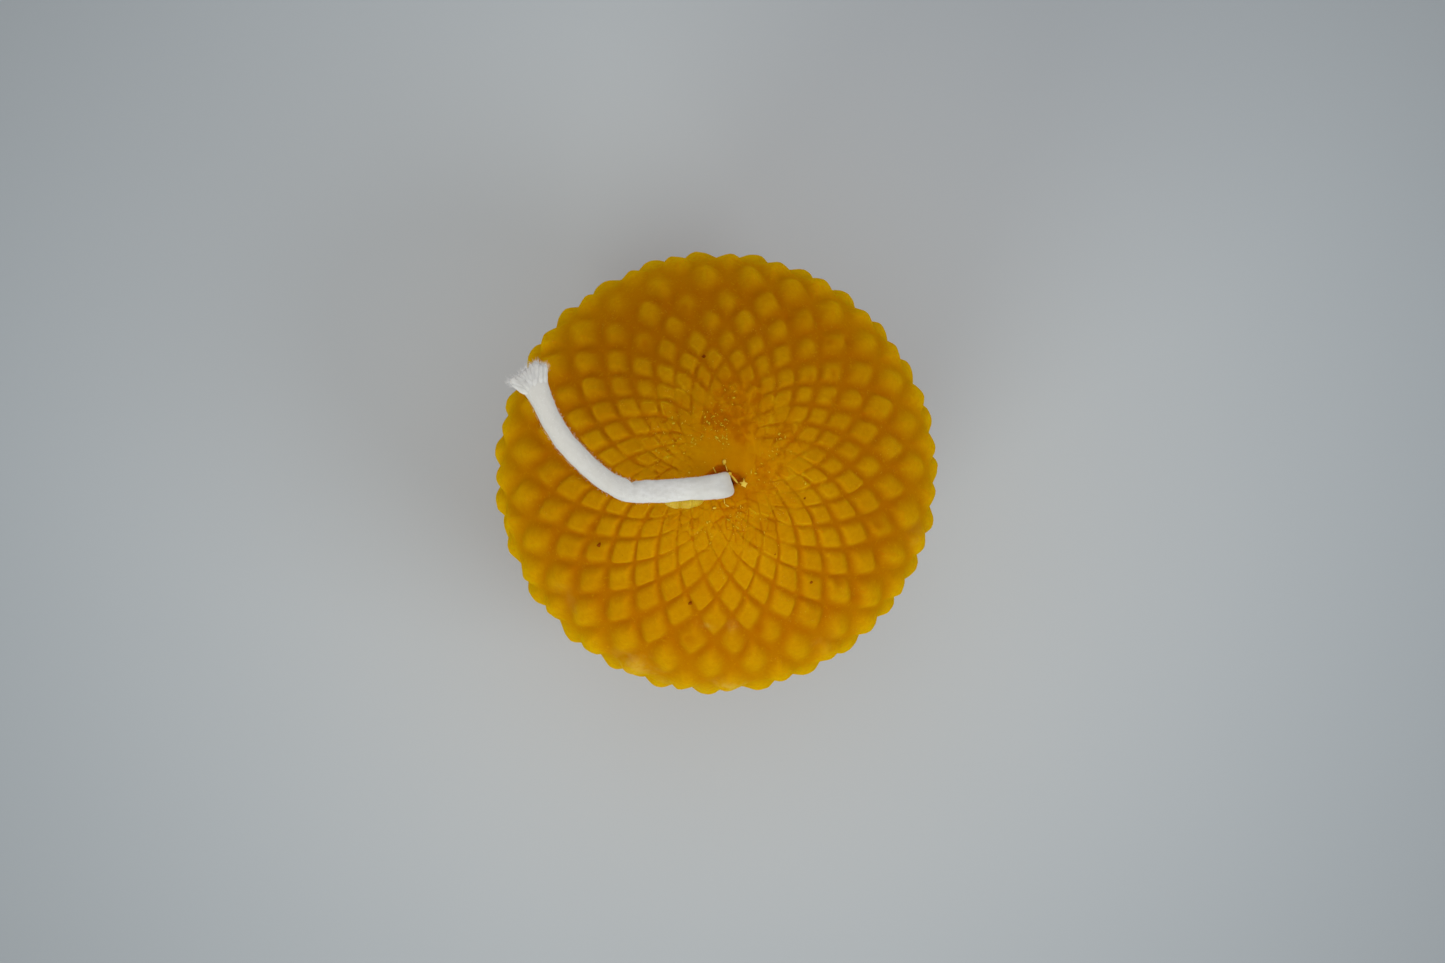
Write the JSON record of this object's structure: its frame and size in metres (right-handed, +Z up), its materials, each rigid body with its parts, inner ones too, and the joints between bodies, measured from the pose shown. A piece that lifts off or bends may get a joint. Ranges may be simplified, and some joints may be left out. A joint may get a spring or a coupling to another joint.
{
  "type": "cast candle",
  "caption": "Cast beeswax candle, pinecone-like with a diamond relief, a domed tip and a flat base, and a braided cotton wick that folds over at the tip.",
  "frame": {"origin": "centre of the flat base, on the surface the candle stands on", "axes": "+Z up along the candle's axis to its tip; +X to the right in the reference view from above, so the folded wick leaves the tip towards -X; +Y away from the viewer, towards the top of that view"},
  "size_m": [0.0598, 0.0599, 0.0954],
  "materials": {
    "beeswax": "satin, slightly translucent wax with fine cast texture",
    "wick_cotton": "matt braided cotton, frayed end",
    "beeswax_bead": "thin translucent wax"
  },
  "bodies": {
    "root": {"candle_body": "beeswax", "wick": "wick_cotton", "wick_wax_bead": "beeswax_bead"}
  },
  "joints": []
}
